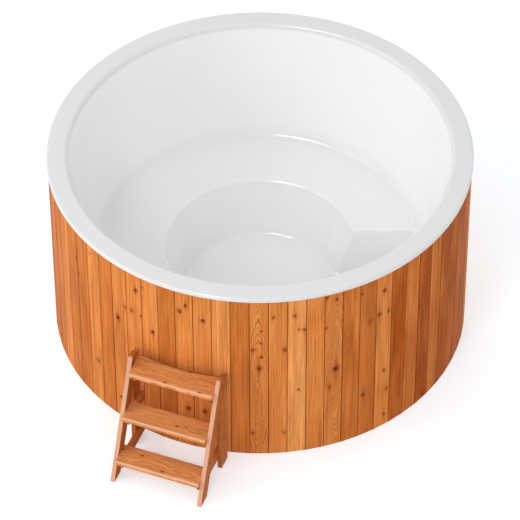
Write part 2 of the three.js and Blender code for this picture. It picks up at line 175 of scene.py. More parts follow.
# Knots in view: place in boards from the first joint, height, radius and darkness
KNOTS = [
    (-8.04, 0.82, 0.010, 0.7), (-7.95, 0.73, 0.006, 0.5), (-7.95, 0.175, 0.007, 0.6),
    (-6.70, 0.94, 0.006, 0.5), (-6.42, 0.265, 0.010, 0.7), (-4.65, 0.653, 0.012, 1.0),
    (-4.13, 0.75, 0.008, 0.7), (-4.65, 0.13, 0.007, 0.6), (-3.35, 0.895, 0.010, 0.9),
    (-3.65, 0.755, 0.010, 0.5), (-3.07, 0.745, 0.006, 0.6), (-2.97, 0.94, 0.006, 0.7),
    (-2.35, 0.675, 0.010, 1.0), (-0.72, 0.87, 0.010, 0.8), (-0.40, 0.915, 0.009, 1.0),
    (-0.35, 0.245, 0.012, 0.9), (0.55, 0.845, 0.010, 1.0), (0.58, 0.25, 0.012, 0.9),
    (3.18, 0.685, 0.009, 0.8), (3.62, 0.807, 0.006, 0.7), (3.62, 0.73, 0.006, 0.7),
    (3.60, 0.643, 0.007, 0.9), (3.50, 0.57, 0.012, 1.0), (3.17, 0.138, 0.007, 0.6),
    (4.27, 0.895, 0.007, 0.8), (4.87, 0.685, 0.009, 0.8), (4.85, 0.137, 0.008, 0.6),
    (5.41, 0.895, 0.008, 0.7), (5.60, 0.805, 0.007, 0.7), (5.88, 0.797, 0.007, 0.7),
    (5.60, 0.415, 0.006, 0.4), (7.65, 0.95, 0.007, 0.9), (7.10, 0.975, 0.007, 0.9),
    (7.08, 0.78, 0.007, 0.7), (7.65, 0.505, 0.016, 1.0), (7.30, 0.395, 0.008, 0.9),
    (9.10, 0.935, 0.008, 0.7), (9.65, 0.735, 0.011, 0.4), (9.30, 0.27, 0.011, 0.8),
    (10.48, 0.895, 0.010, 0.9), (10.20, 0.755, 0.012, 0.6), (10.80, 0.75, 0.009, 0.8),
    (10.60, 0.367, 0.008, 0.7), (10.80, 0.24, 0.009, 0.7), (10.70, 0.07, 0.008, 0.7),
    (13.05, 0.645, 0.010, 0.5), (13.97, 0.525, 0.009, 0.7), (13.37, 0.21, 0.009, 0.8),
    (13.65, 0.03, 0.009, 0.8), (16.05, 0.875, 0.010, 0.9),
]

# Most knots on a board, how much shorter than wide they are counted, and how far their outline strays
KNOT_SLOTS = 6
KNOT_SQUASH = 0.85
KNOT_WARP = 0.024

# Boards out of view by chance: spans of the tone, and of the place, height, radius and darkness of knots,
# of which there are fewer than this
CHANCE_TONE = (0.1, 0.9)
CHANCE_KNOT = [(-0.4, 0.4), (0.05, 0.95), (0.006, 0.012), (0.4, 1.0)]
CHANCE_KNOTS = 4

# Boards cut near the heart of the log, with the height that their arches point away from
ARCHED_BOARDS = {3: 0.42, 7: 0.50, 13: 0.40, 22: 0.55, 29: 0.45, -21: 0.5, -28: 0.6}
ARCH_TAPER = 0.19

# How far the heart of the log lies to the side of a plain board, and of an arched one
PLAIN_HEART = (0.045, 0.11)
ARCHED_HEART = (-0.012, 0.012)

# The same for the step and the frame: taper of the log, its heart, sway of the grain and strength of rings
TIMBER_TAPER = 0.12
TIMBER_HEART = 0.01
TIMBER_SWAY = 0.045
TIMBER_LINES = 0.5

# Growth rings in a metre of log, for plain and for arched boards, and the depth of its heart
RING_PITCH = (85.0, 115.0)
HEART_DEPTH = 0.010

# Sheen of the wood and gloss of the liner
WOOD_SPECULAR = 0.05
LINER_SPECULAR = 0.5

# Painted light on the liner's white, by height: higher in the well and on the walls to lift their shade,
# lower on the bench, lowest on the rim
LINER_PAINTED_LIGHT = [(0.36, 0.89), (0.40, 0.855), (0.50, 0.915), (0.985, 0.915), (1.0, 0.77)]

# Colours of the boards, the step and the frame, from dark to pale
WOOD_TONES = [(0.0, (0.44, 0.092, 0.005)), (0.45, (0.75, 0.252, 0.057)), (1.0, (0.93, 0.40, 0.125))]
STEP_TONES = [(0.0, (0.45, 0.120, 0.022)), (1.0, (0.98, 0.43, 0.155))]
FRAME_TONES = [(0.0, (0.45, 0.28, 0.14)), (1.0, (0.66, 0.47, 0.27))]

# Where each kind of piece lies between its dark and its pale colour: the step's stringers, legs and rails
# are set darker as painted shade between the step's parts
PIECE_TONE_AND_SHADE = {"batten": 0.55, "stringer": 0.15, "leg": 0.22, "tread": 0.6, "rail": 0.2,
               "stud": 0.6, "bearer": 0.4, "sheet": 0.7}

# Tints that multiply the wood's colour: dark rings, streaks, tails of knots and board joints
LATE_TINT = (0.48, 0.30, 0.22)
STREAK_TINT = (0.58, 0.42, 0.34)
TAIL_TINT = (0.62, 0.45, 0.38)
JOINT_TINT = (0.55, 0.40, 0.32)

# Where the joint's tint starts and is full, from the middle of a board
JOINT_REACH = (0.0395, 0.0430)

# Colours that replace the wood's: round a knot, a knot from its middle out, a pale painted highlight on
# step faces turned to the light, and a painted shadow in the gap at the back of the top tread
KNOT_RING = (0.36, 0.090, 0.016)
KNOT_CORE = [(0.105, 0.020, 0.008), (0.27, 0.052, 0.008)]
PAINTED_HIGHLIGHT = (0.82, 0.50, 0.35)
GAP_SHADOW_COLOUR = (0.10, 0.035, 0.015)

# Where the painted shadow in the gap behind the top tread starts and is full, beyond the hollow of the
# tread
GAP_SHADOW_REACH = (0.009, 0.003)

# Metals and plastics of the drain, and the foam pad
STEEL = (0.60, 0.60, 0.61)
POLISHED_STEEL = (0.75, 0.75, 0.77)
BRASS = (0.66, 0.46, 0.20)
PIPE_GREY = (0.48, 0.49, 0.50)
RUBBER = (0.03, 0.03, 0.03)
LEVER_BLUE = (0.05, 0.075, 0.11)
FOAM = (0.42, 0.58, 0.68)


class Graph:
    """The nodes of one material, with short calls for the ones used often."""

    def __init__(self, name):
        self.material = bpy.data.materials.new(name)
        self.material.use_nodes = True
        self.tree = self.material.node_tree
        self.shader = self.tree.nodes["Principled BSDF"]

    def add(self, kind, inputs=(), **settings):
        """A node with its settings, its inputs set to values or linked to sockets."""
        node = self.tree.nodes.new(kind)
        for key, value in settings.items():
            setattr(node, key, value)
        for key, value in dict(inputs).items():
            self.put(node.inputs[key], value)
        return node

    def put(self, socket, value):
        """Links a socket to another, or sets its value."""
        if isinstance(value, bpy.types.NodeSocket):
            self.tree.links.new(value, socket)
        else:
            socket.default_value = value

    def set(self, **values):
        """Sets or links inputs of the shader, named with underscores for blanks."""
        for key, value in values.items():
            self.put(self.shader.inputs[key.replace("_", " ")], value)

    def math(self, operation, a, b=0.0, c=0.0):
        return self.add("ShaderNodeMath", {0: a, 1: b, 2: c}, operation=operation).outputs[0]

    def vector(self, operation, a, b=(0.0, 0.0, 0.0)):
        node = self.add("ShaderNodeVectorMath", {0: a, 1: b}, operation=operation)
        return node.outputs["Value" if operation in ("LENGTH", "DOT_PRODUCT") else "Vector"]

    def combine(self, x, y, z):
        return self.add("ShaderNodeCombineXYZ", {"X": x, "Y": y, "Z": z}).outputs[0]

    def separate(self, vector):
        return self.add("ShaderNodeSeparateXYZ", {"Vector": vector}).outputs

    def noise(self, vector, scale, detail=2.0, roughness=0.5):
        inputs = {"Vector": vector, "Scale": scale, "Detail": detail, "Roughness": roughness}
        return self.add("ShaderNodeTexNoise", inputs).outputs["Fac"]

    def span(self, value, low, high, to_low=0.0, to_high=1.0):
        """A value eased from one span to another."""
        inputs = {"Value": value, "From Min": low, "From Max": high, "To Min": to_low, "To Max": to_high}
        node = self.add("ShaderNodeMapRange", inputs, interpolation_type="SMOOTHSTEP")
        return node.outputs["Result"]

    def mix(self, factor, a, b, blend="MIX"):
        inputs = {"Factor": factor, 6: a, 7: b}
        node = self.add("ShaderNodeMix", inputs, data_type="RGBA", blend_type=blend)
        return node.outputs[2]

    def ramp(self, factor, stops):
        node = self.add("ShaderNodeValToRGB", {"Fac": factor})
        elements = node.color_ramp.elements
        while len(elements) < len(stops):
            elements.new(0.5)
        for element, (at, colour) in zip(elements, stops):
            element.position = at
            element.color = rgb(colour)
        return node.outputs["Color"]

    def scale(self, colour, value):
        return self.mix(1.0, colour, self.combine(value, value, value), "MULTIPLY")

    def stain(self, factor, colour, tint):
        return self.mix(factor, colour, rgb(tint), "MULTIPLY")

    def spread(self, value, width):
        """Noise about a half, turned to a spread of that width about zero."""
        return self.math("MULTIPLY", self.math("SUBTRACT", value, 0.5), width)

    def attribute(self, name):
        """The four numbers of a mesh attribute: the first three, then the fourth."""
        node = self.add("ShaderNodeAttribute", attribute_name=name)
        return node.outputs["Vector"], node.outputs["Alpha"]

    def place(self):
        return self.add("ShaderNodeTexCoord").outputs["Object"]

    def bump(self, height, distance, strength=1.0):
        inputs = {"Height": height, "Distance": distance, "Strength": strength}
        self.set(Normal=self.add("ShaderNodeBump", inputs).outputs[0])


def rgb(colour):
    """A colour with full alpha."""
    return (*colour, 1.0)


def wood(graph, across, along, depth, seed, tone, heart, arch, lines, knot, core, tones):
    """Softwood: rings of a log cut flat, streaks along the grain, and knots that push the rings aside."""
    times = partial(graph.math, "MULTIPLY")
    drift = graph.noise(graph.combine(times(along, 1.5), seed, 0.0), 1.0)
    swell = graph.noise(graph.combine(seed, times(along, 1.1), 4.0), 1.0)
    sideways = graph.math("ADD", graph.math("SUBTRACT", across, heart), graph.spread(drift, 0.05))
    inward = graph.math("ADD", graph.math("ADD", depth, HEART_DEPTH), graph.spread(swell, 0.02))
    inward = graph.math("ADD", inward, graph.span(knot, 3.0, 0.4, 0.0, 0.030))
    radius = graph.math("ADD", graph.vector("LENGTH", graph.combine(sideways, inward, 0.0)), arch)
    apart = graph.combine(seed, times(seed, 3.0), times(seed, 7.0))

    def grain(crosswise, lengthwise, detail, roughness):
        """Noise drawn out along the grain, at these scales across it and along it."""
        place = graph.combine(times(across, crosswise), times(along, lengthwise), times(depth, crosswise))
        return graph.noise(graph.vector("ADD", place, apart), 1.0, detail, roughness)

    fine = grain(230.0, 6.0, 3.0, 0.6)
    streak = grain(70.0, 1.8, 4.0, 0.65)
    broad = grain(40.0, 1.1, 3.0, 0.6)
    patch = graph.noise(graph.combine(times(across, 14.0), times(along, 2.6), seed), 1.0)
    uneven = graph.noise(graph.combine(times(radius, 55.0), seed, 0.0), 1.0)
    pitch = graph.span(lines, 0.0, 1.0, *RING_PITCH)
    ring = graph.math("MULTIPLY_ADD", radius, pitch, times(uneven, 2.4))
    late = graph.math("POWER", graph.math("FRACT", graph.math("MULTIPLY_ADD", fine, 0.4, ring)), 2.0)
    late = times(late, graph.span(broad, 0.35, 0.65, 0.30, 1.0))
    late = times(late, graph.span(lines, 0.0, 1.0, 0.35, 1.0))
    colour = graph.ramp(graph.math("ADD", tone, graph.spread(patch, 0.6)), tones)
    colour = graph.stain(late, colour, LATE_TINT)
    colour = graph.stain(graph.span(streak, 0.50, 0.74, 0.0, 0.75), colour, STREAK_TINT)
    colour = graph.scale(colour, graph.span(broad, 0.28, 0.72, 0.84, 1.18))
    colour = graph.scale(colour, graph.span(fine, 0.25, 0.75, 0.86, 1.14))
    colour = graph.mix(graph.span(knot, 1.8, 0.9, 0.0, 0.55), colour, rgb(KNOT_RING))
    middle = graph.mix(graph.span(knot, 0.1, 0.8), *map(rgb, KNOT_CORE))
    colour = graph.mix(core, colour, middle)
    graph.set(Roughness=graph.span(fine, 0.2, 0.8, 0.45, 0.65), Specular_IOR_Level=WOOD_SPECULAR)
    graph.bump(graph.math("MULTIPLY_ADD", late, -0.6, fine), 0.0006, 0.5)
    return colour


def board_material():
    """Cladding: every board carries its own place on the board, its seed, tone, heart and knots."""
    graph = Graph("cladding_wood")
    on_board, arch = graph.attribute("on_board")
    across, along, depth = graph.separate(on_board)
    looks, lines = graph.attribute("board")
    seed, tone, heart = graph.separate(looks)
    flat = graph.combine(across, graph.math("MULTIPLY", along, KNOT_SQUASH), 0.0)
    place = graph.place()
    sideways = graph.spread(graph.noise(place, 75.0), KNOT_WARP)
    upward = graph.spread(graph.noise(graph.vector("ADD", place, (5.0, 5.0, 5.0)), 75.0), KNOT_WARP)
    flat = graph.vector("ADD", flat, graph.combine(sideways, upward, 0.0))
    ragged = graph.math("SUBTRACT", graph.noise(place, 190.0, 3.0, 0.7), 0.5)
    nearest, darkest, tails = 99.0, 0.0, 0.0
    for i in range(KNOT_SLOTS):
        knot, darkness = graph.attribute(f"knot_{i}")
        apart = graph.vector("MULTIPLY", graph.vector("SUBTRACT", flat, knot), (1.0, 1.0, 0.0))
        size = graph.math("MAXIMUM", graph.separate(knot)[2], 0.0001)
        reach = graph.math("DIVIDE", graph.vector("LENGTH", apart), size)
        reach = graph.math("MULTIPLY_ADD", ragged, 3.0, reach)
        drawn = graph.vector("LENGTH", graph.vector("MULTIPLY", apart, (1.2, 0.22, 0.0)))
        tail = graph.math("MULTIPLY_ADD", ragged, 2.0, graph.math("DIVIDE", drawn, size))
        core = graph.math("MULTIPLY", graph.span(reach, 1.05, 0.65), darkness)
        nearest = graph.math("MINIMUM", reach, nearest)
        darkest = graph.math("MAXIMUM", core, darkest)
        tail = graph.math("MULTIPLY", graph.span(tail, 1.3, 0.4), darkness)
        tails = graph.math("MAXIMUM", tail, tails)
    colour = wood(graph, across, along, depth, seed, tone, heart, arch, lines, nearest, darkest, WOOD_TONES)
    colour = graph.stain(graph.math("MULTIPLY", tails, 0.5), colour, TAIL_TINT)
    joint = graph.span(graph.math("ABSOLUTE", across), *JOINT_REACH)
    colour = graph.stain(joint, colour, JOINT_TINT)
    graph.set(Base_Color=colour)
    return graph.material


def timber_material(name, seed, tone, lengthwise, thick, middle, tones, highlight_facing, gap_shadow_radius):
    """A piece of timber with its grain and its thickness along two directions, and knots by chance."""
    graph = Graph(name)
    wide = lengthwise.cross(thick)
    place = graph.vector("SUBTRACT", graph.place(), tuple(middle))
    along = graph.vector("DOT_PRODUCT", place, tuple(lengthwise))
    across = graph.vector("DOT_PRODUCT", place, tuple(wide))
    depth = graph.vector("DOT_PRODUCT", place, tuple(thick))
    crosswise = graph.math("MULTIPLY_ADD", across, 13.0, seed)
    spots = graph.combine(crosswise, graph.math("MULTIPLY", along, 7.0), 0.0)
    cells = graph.add("ShaderNodeTexVoronoi", {"Vector": spots, "Scale": 1.0}, voronoi_dimensions="2D")
    ragged = graph.math("SUBTRACT", graph.noise(place, 110.0, 3.0, 0.7), 0.5)
    kept = graph.span(graph.separate(cells.outputs["Color"])[0], 0.45, 0.50, 9.0, 0.0)
    outline = graph.math("MULTIPLY_ADD", ragged, 2.5, kept)
    knot = graph.math("MULTIPLY_ADD", cells.outputs["Distance"], 15.0, outline)
    core = graph.span(knot, 1.05, 0.5, 0.0, 0.7)
    sway = graph.noise(graph.combine(seed, graph.math("MULTIPLY", along, 9.0), 2.0), 1.0)
    bent = graph.math("ADD", across, graph.spread(sway, TIMBER_SWAY))
    figure = graph.math("MULTIPLY", graph.math("ABSOLUTE", along), TIMBER_TAPER)
    colour = wood(
        graph, bent, along, depth, seed, tone, TIMBER_HEART, figure, TIMBER_LINES, knot, core, tones)
    # Painted highlight: faces turned along this direction, the stringers' fronts and the treads' nosings,
    # are painted paler as if they caught the light
    if highlight_facing is not None:
        facing = graph.add("ShaderNodeNewGeometry").outputs["Normal"]
        edge = graph.span(graph.vector("DOT_PRODUCT", facing, tuple(highlight_facing)), 0.80, 0.97, 0.0, 0.7)
        colour = graph.mix(edge, colour, rgb(PAINTED_HIGHLIGHT))
    # Painted shadow: the strip of the top tread next to the tub is darkened for the shadow in the gap there
    if gap_shadow_radius is not None:
        from_axis = graph.vector("LENGTH", graph.vector("MULTIPLY", graph.place(), (1.0, 1.0, 0.0)))
        starts, full = (gap_shadow_radius + beyond for beyond in GAP_SHADOW_REACH)
        gap_shadow = graph.span(from_axis, starts, full, 0.0, 0.75)
        colour = graph.mix(gap_shadow, colour, rgb(GAP_SHADOW_COLOUR))
    graph.set(Base_Color=colour)
    return graph.material


def gelcoat_material():
    """White moulded liner: glossy, with a faint ripple, uneven gloss, and painted light by height that
    lifts the shade in the well and on the walls and tones down the rim.
    """
    graph = Graph("liner_gelcoat")
    place = graph.place()
    cloud = graph.noise(place, 3.0, 3.0)
    tint = graph.mix(graph.span(cloud, 0.3, 0.7), (0.99, 0.99, 0.99, 1.0), (1.0, 1.0, 1.0, 1.0))
    # Painted light: the white is raised where the liner lies in shade and lowered on the rim
    painted_light_ramp = [(height, (white,) * 3) for height, white in LINER_PAINTED_LIGHT]
    tint = graph.mix(1.0, tint, graph.ramp(graph.separate(place)[2], painted_light_ramp), "MULTIPLY")
    gloss = graph.span(graph.noise(place, 14.0, 4.0), 0.3, 0.7, 0.07, 0.14)
    graph.set(Base_Color=tint, Roughness=gloss, Specular_IOR_Level=LINER_SPECULAR)
    graph.bump(graph.noise(place, 40.0, 2.0), 0.0005, 0.12)
    return graph.material


def metal_material(name, colour, roughness):
    """Bare metal with fine brushing and slight staining."""
    graph = Graph(name)
    place = graph.place()
    brush = graph.noise(graph.vector("MULTIPLY", place, (900.0, 900.0, 60.0)), 1.0, 2.0)
    stain = graph.noise(place, 40.0, 3.0)
    dull = tuple(0.7 * c for c in colour)
    graph.set(Base_Color=graph.mix(graph.span(stain, 0.45, 0.75), rgb(colour), rgb(dull)))
    gloss = graph.span(brush, 0.2, 0.8, roughness - 0.08, roughness + 0.12)
    graph.set(Roughness=gloss, Metallic=1.0)
    graph.bump(brush, 0.0001, 0.3)
    return graph.material


def plastic_material(name, colour, roughness, grain=60.0):
    """Moulded or dipped plastic, rubber or foam with a fine surface grain."""
    graph = Graph(name)
    place = graph.place()
    cloud = graph.noise(place, 12.0, 3.0)
    dull = tuple(0.82 * c for c in colour)
    graph.set(Base_Color=graph.mix(graph.span(cloud, 0.35, 0.7), rgb(colour), rgb(dull)))
    graph.set(Roughness=graph.span(cloud, 0.3, 0.7, roughness - 0.07, roughness + 0.07))
    graph.bump(graph.noise(place, grain * 10.0, 2.0), 0.0003, 0.3)
    return graph.material


def mesh_object(name, vertices, faces, material, smooth=False):
    """A new object with a mesh of these points and faces."""
    mesh = bpy.data.meshes.new(name)
    mesh.from_pydata([tuple(v) for v in vertices], [], faces)
    mesh.polygons.foreach_set("use_smooth", [smooth] * len(mesh.polygons))
    mesh.materials.append(material)
    mesh.update()
    made = bpy.data.objects.new(name, mesh)
    bpy.context.scene.collection.objects.link(made)
    return made


def smooth_group():
    """Geometry nodes that smooth a mesh except along its sharp edges."""
    group = bpy.data.node_groups.new("smooth_by_angle", "GeometryNodeTree")
    group.interface.new_socket("Geometry", in_out="INPUT", socket_type="NodeSocketGeometry")
    group.interface.new_socket("Geometry", in_out="OUTPUT", socket_type="NodeSocketGeometry")
    start = group.nodes.new("NodeGroupInput")
    end = group.nodes.new("NodeGroupOutput")
    angle = group.nodes.new("GeometryNodeInputMeshEdgeAngle")
    sharp = group.nodes.new("FunctionNodeCompare")
    sharp.operation = "GREATER_THAN"
    sharp.inputs["B"].default_value = SHARP_ANGLE
    faces = group.nodes.new("GeometryNodeSetShadeSmooth")
    edges = group.nodes.new("GeometryNodeSetShadeSmooth")
    edges.domain = "EDGE"
    edges.inputs["Shade Smooth"].default_value = False
    group.links.new(angle.outputs["Unsigned Angle"], sharp.inputs["A"])
    group.links.new(start.outputs[0], faces.inputs["Geometry"])
    group.links.new(faces.outputs[0], edges.inputs["Geometry"])
    group.links.new(sharp.outputs[0], edges.inputs["Selection"])
    group.links.new(edges.outputs[0], end.inputs[0])
    return group


SMOOTH_GROUP = smooth_group()


def finish_node(name, material, bevel=0.0):
    """Gives a CAD node its material, eased edges and smooth round faces."""
    node = nodes[name]
    node.data.materials.clear()
    node.data.materials.append(material)
    if bevel > 0:
        ease = node.modifiers.new("eased_edges", "BEVEL")
        ease.width = bevel
        ease.segments = EASE_SEGMENTS
        ease.limit_method = "ANGLE"
        ease.angle_limit = EASE_ANGLE
    node.modifiers.new("smooth", "NODES").node_group = SMOOTH_GROUP


def make_camera():
    """Camera at the photograph's viewing angle."""
    turn = Matrix.Rotation(CAMERA_AZIMUTH, 3, "Z")
    back = turn @ Vector((0, -math.cos(CAMERA_ELEVATION), math.sin(CAMERA_ELEVATION)))
    level = turn @ Vector((1, 0, 0))
    upward = back.cross(level)
    right = math.cos(CAMERA_ROLL) * level + math.sin(CAMERA_ROLL) * upward
    up = math.cos(CAMERA_ROLL) * upward - math.sin(CAMERA_ROLL) * level
    camera = bpy.data.objects.new("camera", bpy.data.cameras.new("camera"))
    place = Matrix.Translation(turn @ Vector(CAMERA_AIM) + CAMERA_DISTANCE * back)
    camera.matrix_world = place @ Matrix((right, up, back)).transposed().to_4x4()
    camera.data.sensor_width = CAMERA_FILM
    camera.data.lens = CAMERA_LENS
    camera.data.clip_end = CAMERA_REACH
    bpy.context.scene.collection.objects.link(camera)
    bpy.context.scene.camera = camera


def round_join(a, b, radius, convex):
    """Two signed distances joined with a round edge or a cove of that radius."""
    if convex:
        u = np.maximum(a + radius, 0)
        v = np.maximum(b + radius, 0)
        return np.minimum(-radius, np.maximum(a, b)) + np.hypot(u, v)
    u = np.maximum(radius - a, 0)
    v = np.maximum(radius - b, 0)
    return np.maximum(radius, np.minimum(a, b)) - np.hypot(u, v)


def liner_distance(x, y, z):
    """Distance from the liner's inner face, above zero in the water, in the frame of the bench opening."""
    r = np.hypot(x, y)
    wall = (RIM_INNER - (RIM_HEIGHT - z) * WALL_TAPER - r) / math.hypot(1, WALL_TAPER)
    seat = (z - BENCH_HEIGHT - (r - WELL_RADIUS) * BENCH_FALL) / math.hypot(1, BENCH_FALL)
    well = (WELL_RADIUS - (BENCH_HEIGHT - z) * WELL_TAPER - r) / math.hypot(1, WELL_TAPER)
    into_bench = (y - END_APEX - END_SLOPE * np.abs(x)) / math.hypot(1, END_SLOPE)
    end = (-into_bench - (BENCH_HEIGHT - z) * END_DRAFT) / math.hypot(1, END_DRAFT)
    bench = round_join(round_join(well, end, CORNER_ROUND, True), seat, BENCH_ROUND, True)
    inside = round_join(bench, z - FLOOR_HEIGHT, COVE_ROUND, False)
    inside = round_join(inside, wall, COVE_ROUND, False)
    return round_join(inside, z - RIM_HEIGHT, RIM_ROUND, True)


def liner_height(x, y):
    """Height of the liner's inner face over points of the plan, by halving."""
    low = np.full_like(x, FLOOR_HEIGHT - HEIGHT_MARGIN)
    high = np.full_like(x, RIM_HEIGHT + HEIGHT_MARGIN)
    for _ in range(HALVINGS):
        middle = (low + high) / 2
        water = liner_distance(x, y, middle) > 0
        high = np.where(water, middle, high)
        low = np.where(water, low, middle)
    return (low + high) / 2


def end_angle(r):
    """Angle of the bench's end at a radius, from the middle of the opening."""
    r = np.maximum(r, END_START)
    square = 1 + END_SLOPE ** 2
    inner = END_SLOPE * END_APEX
    x = (-inner + np.sqrt(inner ** 2 - square * (END_APEX ** 2 - r ** 2))) / square
    return np.arctan2(x, -(END_APEX + END_SLOPE * x))


def close_to(places, reach, step, low, high):
    """Values from low to high, at a fine step near the places and coarser elsewhere."""
    values = [low]
    while values[-1] < high:
        apart = min(abs(values[-1] - place) for place in places)
        values.append(values[-1] + step * min(STEP_GROWTH, max(1, apart / reach)))
    values[-1] = high
    return np.array(values)


def make_liner(material):
    """The liner as rings of points: its columns follow the bench ends, and the last rings form the lip."""
    end = float(end_angle(END_RADIUS))
    side = close_to([end], COLUMN_REACH, COLUMN_STEP, 0.0, math.pi)
    even = np.concatenate([side, side[-2:0:-1]])
    sign = np.concatenate([np.ones(len(side)), -np.ones(len(side) - 2)])
    before = even / (end - END_MARGIN)
    after = (math.pi - even) / (math.pi - end - END_MARGIN)
    share = np.minimum(1, np.minimum(before, after))
    edges = [WELL_RADIUS, RIM_INNER, WELL_RADIUS - (BENCH_HEIGHT - FLOOR_HEIGHT) * WELL_TAPER,
             RIM_INNER - (RIM_HEIGHT - BENCH_HEIGHT) * WALL_TAPER,
             RIM_INNER - (RIM_HEIGHT - FLOOR_HEIGHT) * WALL_TAPER]
    inner_rings = close_to(edges, RING_REACH, RING_STEP, RING_START, RIM_RADIUS - LIP_ROUND)
    round_r, round_z = RIM_RADIUS - LIP_ROUND, RIM_HEIGHT - LIP_ROUND
    lip = [(round_r + LIP_ROUND * math.sin(t), round_z + LIP_ROUND * math.cos(t))
           for t in np.linspace(0, math.pi / 2, LIP_ROWS)[1:]]
    lip += [(RIM_RADIUS, LIP_BOTTOM + LIP_EASE), (RIM_RADIUS - 0.3 * LIP_EASE, LIP_BOTTOM + 0.3 * LIP_EASE),
            (RIM_RADIUS - LIP_EASE, LIP_BOTTOM), (LIP_INNER, LIP_BOTTOM), (LIP_INNER, FLANGE_BOTTOM),
            (FLANGE_INNER, FLANGE_BOTTOM)]
    rows = []
    for r in inner_rings:
        angle = sign * (even + (end_angle(r) - end) * share)
        x = r * np.sin(angle)
        y = -r * np.cos(angle)
        rows.append(np.stack([x, y, liner_height(x, y)], 1))
    for r, z in lip:
        angle = sign * even
        rows.append(np.stack([r * np.sin(angle), -r * np.cos(angle), np.full_like(angle, z)], 1))
    columns = len(even)
    points = np.concatenate([[[0, 0, FLOOR_HEIGHT]], *rows])
    faces = [(0, 1 + j, 1 + (j + 1) % columns) for j in range(columns)]
    for i in range(len(rows) - 1):
        for j in range(columns):
            k = (j + 1) % columns
            here, there = 1 + i * columns, 1 + (i + 1) * columns
            faces.append((here + j, there + j, there + k, here + k))
    low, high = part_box("drain_body")
    drain = (low + high) / 2
    turned = Matrix.Rotation(OPENING_ANGLE, 3, "Z")
    points = [turned @ Vector(p) for p in points]
    reach = (high.x - low.x) / 2 - DRAIN_LAP
    faces = [f for f in faces if max((points[v].xy - drain.xy).length for v in f) > reach]
    liner = mesh_object("liner_shell", points, faces, material, smooth=True)
    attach(liner, "tub")
    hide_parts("liner")


def board_axes(index):
    """Directions along the width of a board and out of its face."""
    angle = JOINT_ANGLE + (2 * index + 1) * math.pi / BOARD_COUNT
    return Vector((math.cos(angle), math.sin(angle), 0)), Vector((math.sin(angle), -math.cos(angle), 0))


def board_outline(index, sink):
    """Plan of one board in place, with eased front edges and its face sunk by a little."""
    half = math.pi / BOARD_COUNT
    face = BOARD_FACE - sink
    width = BOARD_OUTER * math.sin(half) - BOARD_GAP
    back = (BOARD_OUTER - BOARD_THICKNESS) * math.cos(half)
    back_width = width - BOARD_THICKNESS * math.tan(half)
    outline = [(-width, face - 2 * CHAMFER), (-width + 0.4 * CHAMFER, face - 0.7 * CHAMFER),
               (-width + CHAMFER, face - 0.15 * CHAMFER), (-width + 1.8 * CHAMFER, face)]
    outline += [(-x, y) for x, y in reversed(outline)]
    outline += [(back_width, back), (-back_width, back)]
    sideways, outward = board_axes(index)
    return [sideways * x + outward * y for x, y in outline]


def drill(board, centre, direction, radius):
    """Cuts a round hole through a board."""
    bpy.ops.mesh.primitive_cylinder_add(
        vertices=DRILL_SIDES, radius=radius, depth=DRILL_DEPTH, location=centre)
    bit = bpy.context.object
    bit.rotation_mode = "QUATERNION"
    bit.rotation_quaternion = direction.to_track_quat("Z", "Y")
    cut = board.modifiers.new("hole", "BOOLEAN")
    cut.object = bit
    cut.solver = "EXACT"
    evaluated = board.evaluated_get(bpy.context.evaluated_depsgraph_get())
    drilled = bpy.data.meshes.new_from_object(evaluated)
    board.modifiers.clear()
    board.data = drilled
    bpy.data.objects.remove(bit)


def board_looks(place, chance):
    """Tone, heart, arch height and knots of one board, as seen in the photo or by chance: a board in view
    has painted shade in its tone.
    """
    heart = chance.choice((-1, 1)) * chance.uniform(*PLAIN_HEART)
    if place in ARCHED_BOARDS:
        heart = chance.uniform(*ARCHED_HEART)
    shown = [tone for tone, boards in BOARD_TONE_AND_SHADE.items() if place in boards]
    if shown:
        tone = shown[0]
        knots = [(at - place - 0.5, z, r, dark) for at, z, r, dark in KNOTS if place <= at < place + 1]
    else:
        tone = chance.uniform(*CHANCE_TONE)
        count = chance.randrange(CHANCE_KNOTS)
        knots = [tuple(chance.uniform(*span) for span in CHANCE_KNOT) for _ in range(count)]
    return tone, heart, ARCHED_BOARDS.get(place), knots


def paint_board(board, index, chance):
    """Stores on the points of a board what its material needs: place on the board, looks and knots."""
    place = index if index <= BOARD_COUNT // 2 else index - BOARD_COUNT
    tone, heart, arch_height, knots = board_looks(place, chance)
    sideways, outward = board_axes(index)
    points = np.array([vertex.co for vertex in board.data.vertices])
    arch = 0 * points[:, 2] if arch_height is None else ARCH_TAPER * np.abs(points[:, 2] - arch_height)
    lines = 0.0 if arch_height is None else 1.0
    behind = BOARD_FACE - points @ np.array(outward)
    values = {"on_board": np.stack([points @ np.array(sideways), points[:, 2], behind, arch], 1)}
    values["board"] = np.tile((chance.uniform(*TIMBER_SEEDS), tone, heart, lines), (len(points), 1))
    pitch = 2 * math.pi * BOARD_OUTER / BOARD_COUNT
    for i in range(KNOT_SLOTS):
        at, z, r, dark = knots[i] if i < len(knots) else (0.0, 0.0, 0.0, 0.0)
        values[f"knot_{i}"] = np.tile((at * pitch, z * KNOT_SQUASH, r, dark), (len(points), 1))
    for name, rows in values.items():
        layer = board.data.attributes.new(name, "FLOAT_COLOR", "POINT")
        layer.data.foreach_set("color", rows.ravel())


